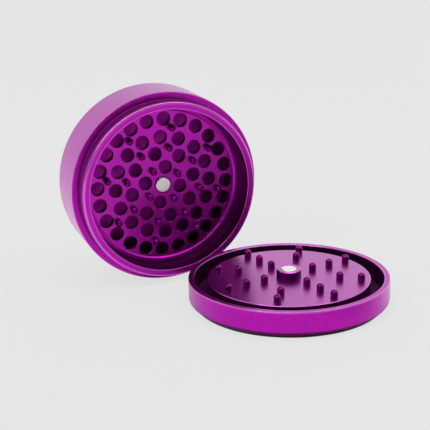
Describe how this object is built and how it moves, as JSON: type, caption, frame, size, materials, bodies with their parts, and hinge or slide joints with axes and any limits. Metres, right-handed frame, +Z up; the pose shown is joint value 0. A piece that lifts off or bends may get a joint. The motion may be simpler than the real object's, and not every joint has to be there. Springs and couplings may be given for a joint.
{
  "type": "herb grinder",
  "caption": "Hand-held herb mill, opened: a round cup with a drilled, pegged plate lying on its side and a lid with a pegged rotor beside it.",
  "frame": {"origin": "middle of the lid's flat outer face, on the surface that both halves lie on", "axes": "+Z up along the lid's axis, +Y along the body's axis from its mouth to its base, +X from the body to the lid"},
  "size_m": [0.0919, 0.0864, 0.0635],
  "materials": {
    "anodised": "satin purple anodised, turned and bead blasted",
    "magnet": "nickel plated",
    "rubber": "black, satin",
    "nylon": "dark, smooth",
    "steel": "ground"
  },
  "bodies": {
    "mill": {"mill_ring": "anodised", "spigot_o_ring": "rubber", "milling_plate": "anodised", "plate_retainer": "anodised", "plate_magnet": "magnet", "plate_peg_01": "anodised", "plate_peg_02": "anodised", "plate_peg_03": "anodised", "plate_peg_04": "anodised", "plate_peg_05": "anodised", "plate_peg_06": "anodised", "plate_peg_07": "anodised", "plate_peg_08": "anodised", "plate_peg_09": "anodised", "plate_peg_10": "anodised", "plate_peg_11": "anodised", "plate_peg_12": "anodised", "plate_peg_13": "anodised", "plate_peg_14": "anodised", "plate_peg_15": "anodised", "plate_peg_16": "anodised", "plate_peg_17": "anodised", "plate_peg_18": "anodised", "plate_peg_19": "anodised", "plate_peg_20": "anodised"},
    "gasket": {"cup_gasket": "rubber"},
    "cup": {"collection_cup": "anodised"},
    "washer": {"slip_washer": "nylon"},
    "lid": {"lid_shell": "anodised", "rotor_disc": "anodised", "rotor_hub": "anodised", "lid_magnet": "magnet", "rotor_dowel_1": "steel", "rotor_dowel_2": "steel", "rotor_peg_01": "anodised", "rotor_peg_02": "anodised", "rotor_peg_03": "anodised", "rotor_peg_04": "anodised", "rotor_peg_05": "anodised", "rotor_peg_06": "anodised", "rotor_peg_07": "anodised", "rotor_peg_08": "anodised", "rotor_peg_09": "anodised", "rotor_peg_10": "anodised", "rotor_peg_11": "anodised", "rotor_peg_12": "anodised", "rotor_peg_13": "anodised", "rotor_peg_14": "anodised", "rotor_peg_15": "anodised", "rotor_peg_16": "anodised", "rotor_peg_17": "anodised", "rotor_peg_18": "anodised", "rotor_peg_19": "anodised", "rotor_peg_20": "anodised"}
  },
  "joints": [
    {"name": "cup_travel", "type": "slide", "parent": "mill", "child": "gasket", "axis": [0, 1, 0], "range_m": [0, 0.0121]},
    {"name": "cup_turn", "type": "hinge", "parent": "gasket", "child": "cup", "pos_m": [-0.0284, 0.048, 0.03175], "axis": [0, 1, 0], "range_deg": [0, 2160]},
    {"name": "lid_lift", "type": "slide", "parent": "mill", "child": "washer", "axis": [0, -0.5, 0.866], "range_m": [0, 0.06]},
    {"name": "lid_turn", "type": "hinge", "parent": "washer", "child": "lid", "pos_m": [0, 0, 0.004], "axis": [0, 0, 1], "continuous": true}
  ],
  "couplings": [
    {"joint": "cup_travel", "follows": "cup_turn", "m_per_rad": 0.00031831}
  ]
}
